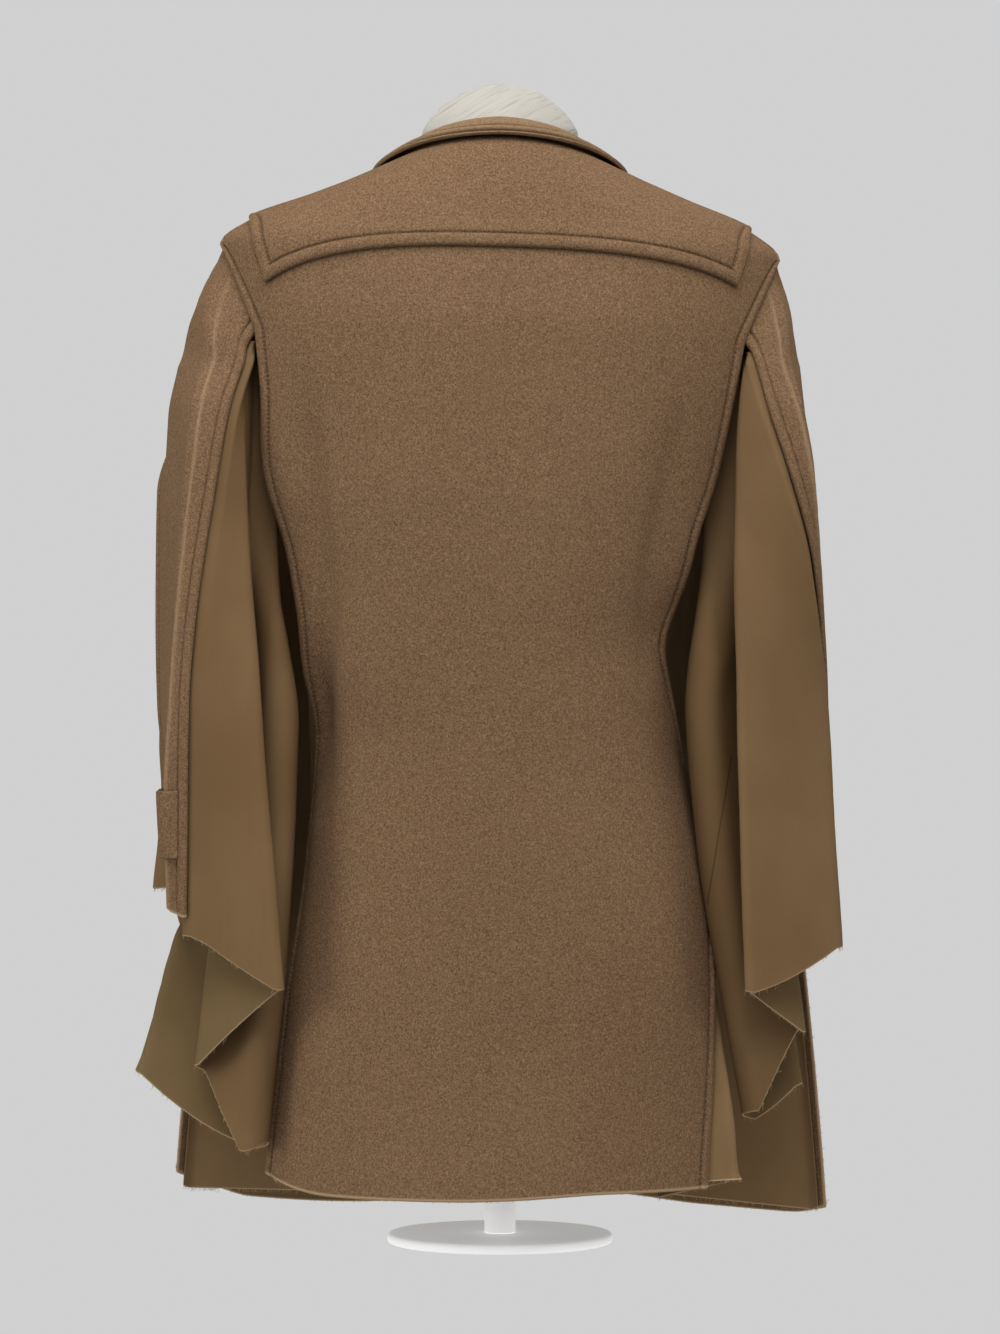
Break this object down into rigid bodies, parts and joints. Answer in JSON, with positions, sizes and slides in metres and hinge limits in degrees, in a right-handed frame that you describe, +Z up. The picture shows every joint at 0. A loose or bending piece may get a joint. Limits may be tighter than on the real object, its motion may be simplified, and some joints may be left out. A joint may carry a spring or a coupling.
{
  "type": "single-breasted coat on a dress form",
  "caption": "Tan wool coat with a shaped back, a back yoke, belled under-sleeves and side godets, closed with buttons in front and resting on a limbless dress form on a round stand.",
  "frame": {"origin": "centre of the stand's underside, on the floor", "axes": "+Z up; the coat's front faces -Y and its back +Y; the wearer's left is +X"},
  "size_m": [0.5603, 0.3052, 0.9257],
  "materials": {
    "wool": "felted wool with a short nap, raw edges",
    "gabardine": "smooth fine twill with a low sheen",
    "button_horn": "satin dark brown",
    "form_cloth": "cream cotton cover",
    "stand_paint": "matt pale grey paint"
  },
  "bodies": {
    "root": {"back": "wool", "back_yoke": "wool", "front_left": "wool", "front_right": "wool", "collar": "wool", "sleeve_left": "wool", "sleeve_right": "wool", "sleeve_tab_left": "wool", "sleeve_tab_right": "wool", "under_sleeve_left": "gabardine", "under_sleeve_right": "gabardine", "side_godet_left": "gabardine", "side_godet_right": "gabardine", "button_1": "button_horn", "button_2": "button_horn", "button_3": "button_horn", "button_4": "button_horn", "button_5": "button_horn", "form_torso": "form_cloth", "form_post": "stand_paint", "form_base": "stand_paint"}
  },
  "joints": []
}
